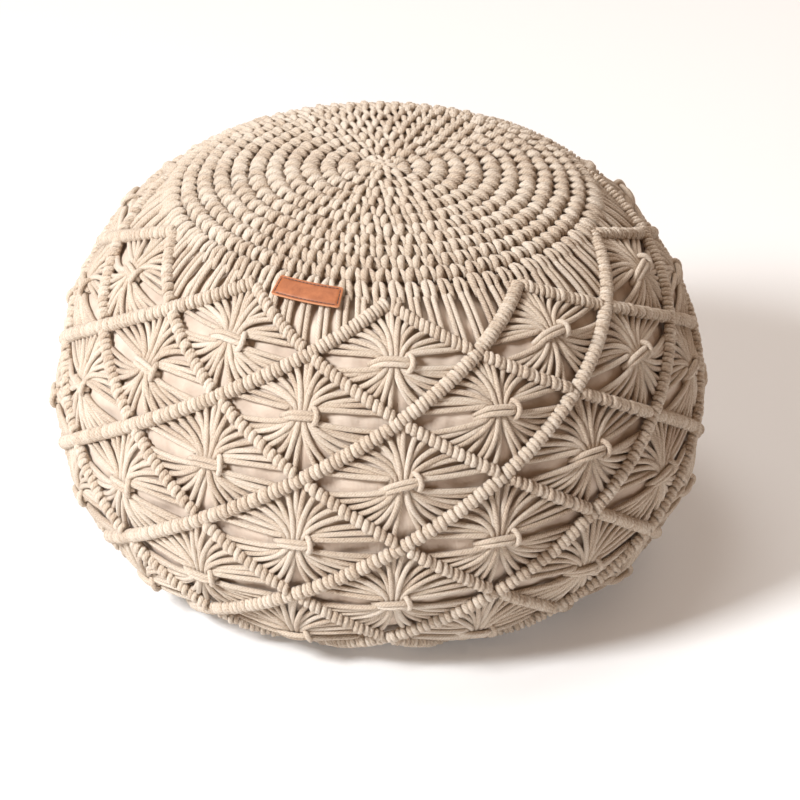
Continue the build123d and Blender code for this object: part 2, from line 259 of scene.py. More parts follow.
def crossing_azimuth(row, column):
    """Azimuth of a crossing."""
    return FIRST_AZIMUTH + SECTOR * column + TWIST * np.sin(math.pi * row / TWIST_ROWS)


def rib_azimuth(side, number, row):
    """Azimuth of a rib at a row: side -1 falls to the left, side 1 falls to the right."""
    return crossing_azimuth(row, number + side * row / 2)


# ---- meshes ----

def unit(vectors):
    """Vectors scaled to length one."""
    return vectors / np.maximum(np.linalg.norm(vectors, axis=-1, keepdims=True), 1e-9)


def corner_uvs(corners):
    """UVs of every quad's corners, from four pairs of u and v."""
    return np.stack([np.stack(pair, -1) for pair in corners], -2).reshape(-1, 2)


def sweep(paths, up, wide, thick, sides, closed=False):
    """Tubes along M paths of K points: around each point stands an ellipse, wide along the
    path's sideways direction and thick along up. Returns points, faces and face-corner UVs,
    with u once round the tube and v the length along it in millimetres."""
    paths = np.asarray(paths, float)
    count, steps = paths.shape[:2]
    if closed:
        along = np.roll(paths, -1, 1) - np.roll(paths, 1, 1)
    else:
        along = np.gradient(paths, axis=1)
    along = unit(along)
    side = unit(np.cross(up, along))
    lift = np.cross(along, side)
    wide = np.broadcast_to(wide, (count, steps))[..., None, None]
    thick = np.broadcast_to(thick, (count, steps))[..., None, None]
    angle = np.linspace(0, TURN, sides, endpoint=False)[None, None, :, None]
    points = (
        paths[:, :, None]
        + wide * np.cos(angle) * side[:, :, None]
        + thick * np.sin(angle) * lift[:, :, None]
    )
    spans = steps if closed else steps - 1
    tube, step, edge = np.meshgrid(
        np.arange(count), np.arange(spans), np.arange(sides), indexing="ij"
    )
    next_step, next_edge = (step + 1) % steps, (edge + 1) % sides

    def index(s, e):
        return (tube * steps + s) * sides + e

    corners = [
        index(step, edge), index(step, next_edge), index(next_step, next_edge), index(next_step, edge),
    ]
    quads = np.stack(corners, -1).reshape(-1, 4)
    run = np.linalg.norm(np.diff(paths, axis=1), axis=-1)
    run = np.concatenate([np.zeros((count, 1)), np.cumsum(run, 1)], 1)
    if closed:
        run = np.concatenate([run, run[:, -1:] + run[:, 1:2]], 1)
    v0, v1 = run[tube, step], run[tube, step + 1]
    u0, u1 = edge / sides, (edge + 1) / sides
    uv = corner_uvs(((u0, v0), (u1, v0), (u1, v1), (u0, v1)))
    caps = np.zeros((0, sides), int)
    if not closed:
        ring = np.arange(sides)
        first = (np.arange(count) * steps)[:, None] * sides + ring[::-1]
        last = (np.arange(count) * steps + steps - 1)[:, None] * sides + ring
        caps = np.concatenate([first, last])
    tone = np.repeat(chance.random(count), steps * sides)
    return points.reshape(-1, 3), quads, caps, uv, tone


def joined(parts):
    """Several swept sets as one: points, quads, caps, UVs and tones with shifted indices."""
    offset = 0
    points, quads, caps, uvs, tones = [], [], [], [], []
    for p, q, c, uv, tone in parts:
        points.append(p)
        quads.append(q + offset)
        caps += [row + offset for row in c]
        uvs.append(uv)
        tones.append(tone)
        offset += len(p)
    points, quads = np.concatenate(points), np.concatenate(quads)
    return points, quads, caps, np.concatenate(uvs), np.concatenate(tones)


def make_piece(name, parts, material, body="root", replaces=()):
    """One object from swept sets, with smooth shading, its UV map and its two attributes: the
    tone of each cord, and the share of painted shade that its depth in the net gives."""
    points, quads, caps, uv, tone = joined(parts)
    cap_sizes = np.array([len(c) for c in caps], int)
    corners = np.concatenate([quads.ravel()] + [np.asarray(c) for c in caps]).astype(np.int32)
    sizes = np.concatenate([np.full(len(quads), 4), cap_sizes]).astype(np.int32)
    starts = np.concatenate([[0], np.cumsum(sizes)[:-1]]).astype(np.int32)
    mesh = bpy.data.meshes.new(name)
    mesh.vertices.add(len(points))
    mesh.loops.add(len(corners))
    mesh.polygons.add(len(sizes))
    mesh.vertices.foreach_set("co", (points * MM).astype(np.float32).ravel())
    mesh.loops.foreach_set("vertex_index", corners)
    mesh.polygons.foreach_set("loop_start", starts)
    mesh.polygons.foreach_set("loop_total", sizes)
    mesh.polygons.foreach_set("use_smooth", np.ones(len(sizes), bool))
    layer = mesh.uv_layers.new(name="length")
    coords = np.zeros((len(corners), 2), np.float32)
    coords[: len(uv)] = uv
    layer.data.foreach_set("uv", coords.ravel())
    attribute = mesh.attributes.new("tone", "FLOAT", "POINT")
    attribute.data.foreach_set("value", tone.astype(np.float32))
    # Painted shade: the depth attribute holds how much a point is darkened for lying deep in the net.
    attribute = mesh.attributes.new("depth", "FLOAT", "POINT")
    painted_shade_share = np.clip((depth_under(points) - PAINTED_SHADE_FROM) / (PAINTED_SHADE_TO - PAINTED_SHADE_FROM), 0, 1)
    attribute.data.foreach_set("value", painted_shade_share.astype(np.float32))
    mesh.update(calc_edges=True)
    mesh.validate()
    mesh.materials.append(material)
    piece = bpy.data.objects.new(name, mesh)
    bpy.context.scene.collection.objects.link(piece)
    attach(piece, body)
    if replaces:
        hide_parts(*replaces)
    return piece


def smooth_curve(points, count):
    """A smooth run of count points through a short list of them: cubic pieces whose slope at
    each point is half the step between its two neighbours. Any columns are carried along."""
    points = np.asarray(points, float)
    at = np.linspace(0, len(points) - 1, count)
    slopes = np.gradient(points, axis=0)
    index = np.clip(np.floor(at).astype(int), 0, len(points) - 2)
    t = (at - index)[:, None]
    return (
        (2 * t ** 3 - 3 * t ** 2 + 1) * points[index]
        + (t ** 3 - 2 * t ** 2 + t) * slopes[index]
        + (3 * t ** 2 - 2 * t ** 3) * points[index + 1]
        + (t ** 3 - t ** 2) * slopes[index + 1]
    )


def on_cover(azimuth, arc, offsets, wide, thick, sides):
    """Tubes at M places of the surface. offsets holds each tube's points as millimetres
    sideways, down and outwards from its place; sideways is turned into azimuth there."""
    reach = radius_at(arc)[:, None]
    around = azimuth[:, None] + offsets[..., 0] / reach
    down = arc[:, None] + offsets[..., 1]
    return sweep(surface(around, down, offsets[..., 2]), outward(around, down), wide, thick, sides)


def hitches(azimuth, arc, across, sink, reach, rise, wide, thick, steps=9, sides=6):
    """Wraps of cord over a carrier, one per azimuth and arc.

    Each wrap's middle line is part of an ellipse, from just under one side to just under the
    other: reach along the across direction times the cosine of an angle, plus rise along the
    outward normal times its sine. It sits sink under the surface."""
    normal = outward(azimuth, arc)
    centre = surface(azimuth, arc, -sink)
    angle = np.radians(np.linspace(*HITCH_ANGLES, steps))
    reach, rise, wide = [np.broadcast_to(v, np.shape(azimuth)) for v in (reach, rise, wide)]
    cosine, sine = np.cos(angle)[None, :, None], np.sin(angle)[None, :, None]
    reach, rise = reach[:, None, None], rise[:, None, None]
    path = centre[:, None] + reach * cosine * across[:, None] + rise * sine * normal[:, None]
    away = unit(cosine * across[:, None] / reach + sine * normal[:, None] / rise)
    return sweep(path, away, wide[:, None], thick, sides)


# ---- materials ----

class Recipe:
    """A new node material, with short ways to add, set and join its nodes."""

    def __init__(self, name, rough, sheen=0.0):
        self.made = bpy.data.materials.new(name)
        self.made.use_nodes = True
        self.tree = self.made.node_tree
        self.shader = self.tree.nodes["Principled BSDF"]
        self.shader.inputs["Roughness"].default_value = rough
        self.shader.inputs["Sheen Weight"].default_value = sheen

    def node(self, kind, **values):
        """Add a node and set its own values."""
        added = self.tree.nodes.new(kind)
        for key, value in values.items():
            setattr(added, key, value)
        return added

    def link(self, out, into):
        """Join two sockets."""
        self.tree.links.new(out, into)

    def maths(self, operation, *sources):
        """One operation on sockets."""
        added = self.node("ShaderNodeMath", operation=operation)
        for source, socket in zip(sources, added.inputs):
            self.link(source, socket)
        return added.outputs[0]

    def scaled(self, source, factor, plus=None):
        """source times factor, plus another socket where one is given."""
        maths = self.node("ShaderNodeMath", operation="MULTIPLY_ADD")
        maths.inputs[1].default_value = factor
        maths.inputs[2].default_value = 0.0
        self.link(source, maths.inputs[0])
        if plus is not None:
            self.link(plus, maths.inputs[2])
        return maths.outputs[0]

    def noise(self, vector, scale, detail=2.0, rough=0.5):
        """A noise pattern read at a vector."""
        pattern = self.node("ShaderNodeTexNoise")
        pattern.inputs["Scale"].default_value = scale
        pattern.inputs["Detail"].default_value = detail
        pattern.inputs["Roughness"].default_value = rough
        self.link(vector, pattern.inputs["Vector"])
        return pattern.outputs["Fac"]

    def tinted(self, value, stops):
        """Base colour from a value through a ramp of (position, colour) stops."""
        ramp = self.node("ShaderNodeValToRGB")
        elements = ramp.color_ramp.elements
        while len(elements) < len(stops):
            elements.new(0.5)
        for element, (position, colour) in zip(elements, stops):
            element.position = position
            element.color = (*colour, 1)
        self.link(value, ramp.inputs["Fac"])
        self.link(ramp.outputs["Color"], self.shader.inputs["Base Color"])

    def raised(self, height, distance, strength=0.6):
        """Bump from a height, with its depth in metres."""
        bump = self.node("ShaderNodeBump")
        bump.inputs["Strength"].default_value = strength
        bump.inputs["Distance"].default_value = distance
        self.link(height, bump.inputs["Height"])
        self.link(bump.outputs["Normal"], self.shader.inputs["Normal"])


def cord_material(name, dark, middle, light, strands=5, spacing=2.4):
    """Soft twisted cotton: strands that wind round the cord, so many to a turn and spacing
    millimetres apart along it, under loose fibres and small tufts. Each cord is a little
    lighter or darker than the next, the whole net is softly mottled, and painted shade makes
    the sides that lie deep in it browner."""
    mix = Recipe(name, 0.93, 0.3)
    mix.shader.inputs["Sheen Roughness"].default_value = 0.6
    mix.shader.inputs["Specular IOR Level"].default_value = 0.15
    uv = mix.node("ShaderNodeUVMap", uv_map="length")
    split = mix.node("ShaderNodeSeparateXYZ")
    mix.link(uv.outputs["UV"], split.inputs[0])
    tone = mix.node("ShaderNodeAttribute", attribute_name="tone").outputs["Fac"]
    coords = mix.node("ShaderNodeTexCoord").outputs["Object"]
    round_cord = mix.scaled(split.outputs["X"], TURN * strands)
    phase = mix.scaled(split.outputs["Y"], TURN / spacing, round_cord)
    twist = mix.maths("SINE", phase)
    turn = mix.scaled(split.outputs["X"], TURN, mix.scaled(split.outputs["Y"], 0.5))
    circle = [mix.maths(operation, turn) for operation in ("COSINE", "SINE")]
    space = mix.node("ShaderNodeCombineXYZ")
    mix.link(circle[0], space.inputs[0])
    mix.link(circle[1], space.inputs[1])
    own_place = mix.scaled(tone, 37.0, mix.scaled(split.outputs["Y"], 0.14))
    mix.link(own_place, space.inputs[2])
    fibres = mix.noise(space.outputs[0], 4.5, 5.0, 0.7)
    tufts = mix.noise(coords, 620.0, 3.0, 0.6)
    patches = mix.noise(coords, 12.0)
    depth = mix.node("ShaderNodeAttribute", attribute_name="depth").outputs["Fac"]
    shade = mix.scaled(patches, 0.16, mix.scaled(tone, 0.16))
    shade = mix.scaled(tufts, 0.5, mix.scaled(fibres, 0.36, shade))
    shade = mix.scaled(twist, 0.05, shade)
    # Painted shade: cords turn darker and browner where they lie deep in the net.
    shade = mix.scaled(depth, -0.27, shade)
    mix.tinted(shade, [(0.3, dark), (0.56, middle), (0.8, light)])
    height = mix.scaled(twist, 0.16, mix.scaled(tufts, 1.3, fibres))
    mix.raised(height, 0.0012, 0.8)
    return mix.made


def canvas_material(name, dark, light, thread=1.1):
    """Plain-weave canvas: two crossed sets of threads, thread millimetres apart, with slubs and
    soft soiling."""
    mix = Recipe(name, 0.95, 0.2)
    mix.shader.inputs["Specular IOR Level"].default_value = 0.12
    uv = mix.node("ShaderNodeUVMap", uv_map="length")
    split = mix.node("ShaderNodeSeparateXYZ")
    mix.link(uv.outputs["UV"], split.inputs[0])
    coords = mix.node("ShaderNodeTexCoord").outputs["Object"]
    slubs = mix.noise(coords, 160.0, 2.0)
    waves = []
    for axis in ("X", "Y"):
        place = mix.scaled(split.outputs[axis], TURN / thread, mix.scaled(slubs, 4.0))
        waves.append(mix.maths("SINE", place))
    weave = mix.maths("MAXIMUM", *waves)
    patches = mix.noise(coords, 22.0, 4.0)
    shade = mix.scaled(weave, 0.07, mix.scaled(slubs, 0.3, patches))
    mix.tinted(shade, [(0.4, dark), (0.9, light)])
    mix.raised(mix.scaled(weave, 0.5, slubs), 0.0005)
    return mix.made


def leather_material(name):
    """Tan vegetable leather: fine grain from cells, soft clouds of colour, and a lighter cut
    edge, where the piece's tone attribute is high."""
    mix = Recipe(name, 0.5)
    mix.shader.inputs["Specular IOR Level"].default_value = 0.35
    coords = mix.node("ShaderNodeTexCoord").outputs["Object"]
    cells = mix.node("ShaderNodeTexVoronoi")
    cells.inputs["Scale"].default_value = 1500.0
    mix.link(coords, cells.inputs["Vector"])
    clouds = mix.noise(coords, 130.0, 5.0, 0.65)
    tone = mix.node("ShaderNodeAttribute", attribute_name="tone").outputs["Fac"]
    shade = mix.scaled(tone, 0.6, mix.scaled(clouds, 0.6))
    stops = [(0.22, (0.27, 0.082, 0.03)), (0.42, (0.42, 0.142, 0.054)), (0.9, (0.66, 0.32, 0.165))]
    mix.tinted(shade, stops)
    mix.raised(mix.scaled(clouds, 0.6, cells.outputs["Distance"]), 0.00012, 0.5)
    return mix.made


def tape_material(name):
    """Zip tape: a herringbone of fine diagonal ribs that turn back every 3 mm."""
    mix = Recipe(name, 0.85, 0.1)
    coords = mix.node("ShaderNodeTexCoord").outputs["Object"]
    split = mix.node("ShaderNodeSeparateXYZ")
    mix.link(coords, split.inputs[0])
    zigzag = mix.node("ShaderNodeMath", operation="PINGPONG")
    zigzag.inputs[1].default_value = 3 * MM
    mix.link(split.outputs["Y"], zigzag.inputs[0])
    place = mix.maths("ADD", split.outputs["X"], zigzag.outputs[0])
    ribs = mix.maths("SINE", mix.scaled(place, TURN / (0.9 * MM)))
    fuzz = mix.noise(coords, 900.0, 3.0)
    shade = mix.scaled(ribs, 0.15, fuzz)
    mix.tinted(shade, [(0.25, (0.50, 0.41, 0.31)), (0.75, (0.72, 0.63, 0.51))])
    mix.raised(shade, 0.0003)
    return mix.made


def nylon_material(name):
    """Zip teeth: satin nylon with a faint haze of wear."""
    mix = Recipe(name, 0.42)
    coords = mix.node("ShaderNodeTexCoord").outputs["Object"]
    haze = mix.noise(coords, 300.0, 3.0)
    mix.tinted(haze, [(0.3, (0.56, 0.47, 0.36)), (0.7, (0.70, 0.61, 0.49))])
    mix.raised(haze, 0.0001, 0.4)
    return mix.made


def metal_material(name):
    """Nickel plate: bright, with fine brushing along the pull and a few duller patches."""
    mix = Recipe(name, 0.3)
    mix.shader.inputs["Metallic"].default_value = 1.0
    coords = mix.node("ShaderNodeTexCoord").outputs["Object"]
    stretch = mix.node("ShaderNodeMapping")
    stretch.inputs["Scale"].default_value = (60, 2500, 2500)
    mix.link(coords, stretch.inputs["Vector"])
    brushing = mix.noise(stretch.outputs[0], 1.0, 3.0)
    patches = mix.noise(coords, 220.0, 4.0)
    mix.tinted(patches, [(0.3, (0.50, 0.48, 0.45)), (0.7, (0.72, 0.70, 0.66))])
    dull = mix.scaled(patches, 0.25, mix.scaled(brushing, 0.2))
    mix.link(dull, mix.shader.inputs["Roughness"])
    mix.raised(brushing, 0.00005, 0.4)
    return mix.made


COTTON = cord_material(
    "natural_cotton_cord", (0.38, 0.245, 0.155), (0.72, 0.595, 0.465), (0.90, 0.81, 0.70)
)
THREAD = cord_material(
    "waxed_brown_thread", (0.06, 0.022, 0.012), (0.12, 0.045, 0.025), (0.2, 0.08, 0.045), 3, 0.8
)
CANVAS = canvas_material("cream_canvas", (0.63, 0.50, 0.40), (0.85, 0.74, 0.63))
LEATHER = leather_material("tan_leather_hide")
TAPE = tape_material("zip_tape_herringbone")
NYLON = nylon_material("zip_nylon")
NICKEL = metal_material("zip_nickel")


def cord_piece(name, parts, node):
    """A piece of cotton cord that stands for one CAD node."""
    make_piece(name, parts, COTTON, replaces=[node])


# ---- top disc ----

def stitch_shape():
    """One stitch of the disc, like a capital lambda: a fat leg on the left, a loop over at the
    top and a thin slanted leg on the right. Columns: sideways, down, outwards, half-width."""
    return smooth_curve(
        [
            (-3.3, 6.8, -10.5, 2.1), (-3.6, 5.0, -5.4, 2.8), (-3.2, 0.6, -2.6, 3.3),
            (-1.9, -3.7, -3.6, 2.8), (0.3, -6.3, -6.8, 2.3), (2.2, -3.7, -4.4, 2.1),
            (3.6, 0.6, -3.1, 2.3), (4.7, 4.8, -5.8, 2.2), (4.9, 6.6, -10.5, 2.0),
        ],
        13,
    )


def edge_stitch_shape():
    """One stitch of the disc's last ring: two straight legs, long enough to run on into a
    pair of the hanging cords. The same columns."""
    return smooth_curve(
        [
            (-2.5, 13.0, -7.5, 2.2), (-2.7, 7.5, -4.8, 2.3), (-2.7, 1.5, -3.2, 2.6),
            (-1.7, -3.9, -3.9, 2.5), (0.2, -6.4, -6.8, 2.3), (1.9, -3.8, -4.2, 2.2),
            (2.7, 1.5, -3.4, 2.3), (2.7, 7.5, -4.9, 2.2), (2.5, 13.0, -7.5, 2.2),
        ],
        13,
    )


def ring_arc(number, azimuth):
    """Arc length of a ring: the rings slide a little backwards, the outer ones most."""
    return FIRST_RING + RING_PITCH * number - DISC_SHIFT * number / (RINGS - 1) * np.cos(azimuth)


def ring_parts(number):
    """One ring of stitches round a carrier cord. Each stitch leans, shifts and swells a little
    by chance; the last ring's are longer and stand over the pairs of hanging cords."""
    arc = FIRST_RING + RING_PITCH * number
    last = number == RINGS - 1
    if last:
        count = REPEATS * CORDS_PER_EDGE
        start = FIRST_AZIMUTH + SECTOR / CORDS_PER_EDGE / 2
    else:
        count = max(5, round(radius_at(arc) * TURN / STITCH_PITCH))
        start = chance.random() * TURN
    azimuth = start + (np.arange(count) + chance.normal(0, 0.04, count)) / count * TURN
    arcs = ring_arc(number, azimuth) + chance.normal(0, 0.4, count)
    shape = edge_stitch_shape() if last else stitch_shape()
    fit = radius_at(arc) * TURN / count / STITCH_PITCH
    offsets = np.tile(shape[None, :, :3], (count, 1, 1))
    lean = chance.normal(0.08, 0.07, count)[:, None]
    offsets[..., 0] = offsets[..., 0] * fit + lean * offsets[..., 1]
    offsets[..., 1] *= 1 + chance.normal(0, 0.05, count)[:, None]
    offsets = offsets + chance.normal(0, 0.2, offsets.shape)
    swell = shape[None, :, 3] * fit * (1 + chance.normal(0, 0.07, count))[:, None]
    loops = on_cover(azimuth, arcs, offsets, swell, swell * 0.92, 6)
    carrier_azimuth = np.linspace(0, TURN, 96, endpoint=False)[None]
    carrier_arc = ring_arc(number, carrier_azimuth)
    carrier = surface(carrier_azimuth, carrier_arc, -ROPE_RADIUS - 3)
    core = sweep(carrier, outward(carrier_azimuth, carrier_arc), 3.6, 3.0, 8, closed=True)
    return [loops, core]


def make_disc():
    """All rings, two to a piece, and the star of stitches in the middle."""
    for first in range(0, RINGS, 2):
        parts = ring_parts(first) + ring_parts(first + 1)
        node = f"knotted_rings_{first + 1:02}_{first + 2:02}"
        cord_piece(f"stitched_rings_{first + 1:02}", parts, node)
    count = 6
    azimuth = np.arange(count) / count * TURN + 0.4
    arcs = np.full(count, 6.4)
    petals = hitches(
        azimuth, arcs, unit(downward(azimuth, arcs)), sink=6.2, reach=4.6, rise=3.6, wide=2.9, thick=2.5
    )
    azimuth = arc = np.array([0.3])
    across = rightward(np.array([0.9]), arc)
    middle = hitches(azimuth, arc, across, sink=5.4, reach=2.6, rise=2.6, wide=2.4, thick=2.3)
    cord_piece("centre_stitches", [petals, middle], "centre_knot")


# ---- ribs ----

def rib_core(side, number, rows, sink):
    """The carrier cord inside a rib."""
    azimuth = rib_azimuth(side, number, rows)[None]
    arc = row_arc(rows)[None]
    return sweep(surface(azimuth, arc, -sink), outward(azimuth, arc), 3.3, 3.3, 8)


def rib_hitches(side, number, rows, per_edge, upright, reach, sink, jitter):
    """Hitches along a rib at the given rows. upright turns them from square across the rib
    (0) to straight down the cushion (1)."""
    azimuth, arc = rib_azimuth(side, number, rows), row_arc(rows)
    step = 0.01
    ahead = surface(rib_azimuth(side, number, rows + step), row_arc(rows + step))
    behind = surface(rib_azimuth(side, number, rows - step), row_arc(rows - step))
    along = unit(ahead - behind)
    pitch = np.linalg.norm(ahead - behind, axis=-1) / (2 * step) / per_edge
    square = unit(np.cross(outward(azimuth, arc), along))
    down = downward(azimuth, arc)
    square = square * np.sign(np.sum(square * down, -1))[:, None]
    across = unit(square * (1 - upright) + down * upright)
    across = unit(across + along * chance.normal(0, 0.07, len(rows))[:, None])
    facing = np.abs(np.sum(across * square, -1))
    sink = sink + chance.normal(0, jitter, len(rows))
    wide = 0.52 * pitch * facing
    return hitches(azimuth, arc, across, sink, reach / facing, rise=3.7, wide=wide, thick=2.3)


def paired(count):
    """Places of count hitches along one edge, from 0 to 1, drawn together in twos."""
    index = np.arange(count)
    return (index + 0.5 + PAIR_CLOSENESS * np.where(index % 2 == 0, 1, -1)) / count


def make_ribs():
    """Rising ribs run whole from the disc to the hem; falling ribs stop at each of them."""
    whole = np.linspace(RIB_START, RIB_END, 120)
    rows = (np.arange(ROWS + 1)[:, None] + paired(RISING_HITCHES)).ravel()
    for number in range(REPEATS):
        parts = [
            rib_core(-1, number, whole, ROPE_RADIUS),
            rib_hitches(
                -1, number, rows, RISING_HITCHES,
                upright=0.1, reach=3.9, sink=ROPE_RADIUS - 0.2, jitter=0.25,
            ),
        ]
        cord_piece(f"rising_hitches_{number + 1:02}", parts, f"rising_rib_{number + 1:02}")
        parts = []
        for edge in range(ROWS + 1):
            begin, stop = edge + 0.07, min(edge + 0.93, RIB_END)
            parts.append(rib_core(1, number, np.linspace(begin, stop, 18), ROPE_RADIUS + 1.2))
            places = edge + 0.05 + 0.9 * paired(FALLING_HITCHES)
            parts.append(rib_hitches(
                1, number, places, FALLING_HITCHES,
                upright=0.8, reach=3.1, sink=ROPE_RADIUS + 0.2, jitter=0.5,
            ))
        cord_piece(f"falling_hitches_{number + 1:02}", parts, f"falling_rib_{number + 1:02}")


# ---- fans, fringe and square knots ----

def bezier(a, b, c, t):
    """Quadratic curve from a to c pulled towards b."""
    t = t[..., None]
    a, b, c = a[..., None, :], b[..., None, :], c[..., None, :]
    return (1 - t) ** 2 * a + 2 * t * (1 - t) * b + t ** 2 * c


def fan_tubes(row, column):
    """Sixteen cords of one diamond, from the upper ribs, gathered under the knot, to the
    lower ribs. Each is two quadratic curves that meet upright in the bundle; sideways
    millimetres are turned into azimuth at the knot's radius."""
    count = 2 * CORDS_PER_EDGE
    knot_azimuth, knot_arc = crossing_azimuth(row, column), row_arc(row)
    knot_azimuth = knot_azimuth + chance.normal(0, 1.5) / radius_at(knot_arc)
    knot_arc = knot_arc + chance.normal(0, 1.2)
    scale = radius_at(knot_arc)
    side = np.where(np.arange(count) < CORDS_PER_EDGE, -1, 1)
    rank = np.arange(count) - (count - 1) / 2
    slot_x = rank * BUNDLE_PITCH
    slot_height = np.array(BUNDLE_HEIGHTS)[np.arange(count) % len(BUNDLE_HEIGHTS)]
    halves = []
    for down in (-1, 1):
        wobble = chance.normal(0, 0.012, count)
        corner = row + down
        places = np.concatenate([np.linspace(*ends, CORDS_PER_EDGE) for ends in FAN_PLACES[down]])
        at_row = corner - down * np.clip(places + wobble, 0.03, 0.97)
        azimuth = crossing_azimuth(at_row, column + side * np.abs(at_row - corner) / 2)
        x = (azimuth - knot_azimuth) * scale
        y = row_arc(at_row) - knot_arc
        end = np.stack([x, y], -1)
        slot_y = down * BUNDLE_HALF
        slot = np.stack([slot_x, np.full(count, slot_y)], -1)
        bow, draw = FAN_BOW[down]
        pull = np.stack([slot_x + bow * (x - slot_x), slot_y + draw * (y - slot_y)], -1)
        pull = pull + chance.normal(0, 1.1, pull.shape)
        t = np.linspace(0, 1, 12)[None].repeat(count, 0)
        flat = bezier(end, pull, slot, t)
        ease = t * t * (3 - 2 * t)
        height = FAN_SEAT * (1 - ease) + slot_height[:, None] * ease + FAN_RISE * np.sin(math.pi * t)
        path = np.concatenate([flat, height[..., None]], -1)
        halves.append(path if down < 0 else path[:, ::-1])
    path = np.concatenate(halves, 1)
    azimuth = knot_azimuth + path[..., 0] / scale
    arc = knot_arc + path[..., 1]
    points = surface(azimuth, arc, path[..., 2])
    width = np.full(path.shape[:2], CORD_RADIUS)
    return sweep(points, outward(azimuth, arc), width, width * 0.96, 7), (knot_azimuth, knot_arc)


def knot_tubes(knot_azimuth, knot_arc):
    """The square knot: two strands across the bundle and a bight that stands at its right
    end. Strands give sideways, down and outwards from the knot's middle, in millimetres."""
    tilt = chance.normal(0, 0.07)
    size = 1 + chance.normal(0, 0.05)
    azimuth, arc = np.array([knot_azimuth]), np.array([knot_arc])
    parts = []
    for points in KNOT_STRANDS:
        curve = smooth_curve(points, 19) * size
        x = curve[:, 0] * math.cos(tilt) + curve[:, 1] * math.sin(tilt)
        y = curve[:, 1] * math.cos(tilt) - curve[:, 0] * math.sin(tilt)
        offsets = np.stack([x, y, curve[:, 2]], -1)[None]
        parts.append(on_cover(azimuth, arc, offsets, CORD_RADIUS, CORD_RADIUS, 8))
    return parts


def make_fans():
    """Fans and knots of every row."""
    for row in range(1, ROWS + 1):
        fans, knots = [], []
        for number in range(REPEATS):
            tubes, knot = fan_tubes(float(row), number + (row - 1) / 2)
            fans.append(tubes)
            knots += knot_tubes(*knot)
        cord_piece(f"fan_of_cords_row_{row}", fans, f"fan_cords_row_{row}")
        cord_piece(f"knots_row_{row}", knots, f"square_knots_row_{row}")


def make_fringe():
    """Pairs of cords that hang from the disc's last ring to the first ribs."""
    pairs = CORDS_PER_EDGE
    pair = (np.arange(pairs) - (pairs - 1) / 2) * SECTOR / pairs
    turn = (pair[:, None] + np.array([-0.17, 0.17]) * SECTOR / pairs).ravel()
    tubes = []
    for number in range(REPEATS):
        row = np.clip(1 - np.abs(turn) / (SECTOR / 2), 0.02, 1)
        end_azimuth = crossing_azimuth(row, number + 0.5) + turn
        start_azimuth = crossing_azimuth(0.0, number + 0.5) + turn
        start_azimuth = start_azimuth + chance.normal(0, 0.004, len(turn))
        t = np.linspace(0, 1, 10)[None]
        azimuth = start_azimuth[:, None] * (1 - t) + end_azimuth[:, None] * t
        arc = (DISC_EDGE - 4) * (1 - t) + row_arc(row)[:, None] * t
        height = FRINGE_START * (1 - t) + FRINGE_END * t + 0.8 * np.sin(math.pi * t)
        points = surface(azimuth, arc, height)
        tubes.append(sweep(points, outward(azimuth, arc), CORD_RADIUS, CORD_RADIUS, 7))
    cord_piece("hanging_fringe", tubes, "fringe_cords")


# ---- lining, base and hem ----

def rib_distance(azimuth, arc):
    """Distance from a point of the cover to the nearest rib, about, in millimetres."""
    rows = np.interp(arc, row_arc(np.linspace(0, 7, 200)), np.linspace(0, 7, 200))
    near = np.full(np.shape(azimuth), 1e9)
    reach = radius_at(arc)
    for side in (-1, 1):
        offset = azimuth - FIRST_AZIMUTH - TWIST * np.sin(math.pi * rows / TWIST_ROWS)
        offset = offset - side * SECTOR * rows / 2
        offset = (offset + SECTOR / 2) % SECTOR - SECTOR / 2
        near = np.minimum(near, np.abs(offset) * reach * math.sin(RIB_LEAN))
    return near


def grid_quads(rows, columns, closed):
    """Corner indices of a grid's quads, and the row and column that each starts from."""
    spans = columns if closed else columns - 1
    row, column = np.meshgrid(np.arange(rows - 1), np.arange(spans), indexing="ij")
    here, below, beside = row * columns, (row + 1) * columns, (column + 1) % columns
    corners = [here + column, below + column, below + beside, here + beside]
    return np.stack(corners, -1).reshape(-1, 4), row, column


def puff_up(piece, held, most):
    """Stuffing pushes the cloth out: cloth pressure for some frames with the held points
    pinned, each point then kept within most millimetres of where it began."""
    mesh = piece.data
    start = np.zeros(len(mesh.vertices) * 3)
    mesh.vertices.foreach_get("co", start)
    start = start.reshape(-1, 3)
    pins = piece.vertex_groups.new(name="held")
    for index in np.nonzero(held)[0].tolist():
        pins.add([index], 1.0, "REPLACE")
    cloth = piece.modifiers.new("stuffing", "CLOTH")
    for key, value in PUFF_CLOTH.items():
        setattr(cloth.settings, key, value)
    cloth.settings.vertex_group_mass = "held"
    cloth.settings.effector_weights.gravity = 0
    cloth.collision_settings.use_collision = False
    scene = bpy.context.scene
    for number in range(1, PUFF_FRAMES + 1):
        scene.frame_set(number)
    shaped = piece.evaluated_get(bpy.context.evaluated_depsgraph_get()).to_mesh()
    end = np.zeros(len(mesh.vertices) * 3)
    shaped.vertices.foreach_get("co", end)
    piece.modifiers.remove(cloth)
    scene.frame_set(1)
    move = end.reshape(-1, 3) - start
    far = np.linalg.norm(move, axis=1, keepdims=True)
    move = move * np.minimum(1, most * MM / np.maximum(far, 1e-9))
    mesh.vertices.foreach_set("co", (start + move).ravel())
    piece.vertex_groups.remove(pins)
    mesh.update()


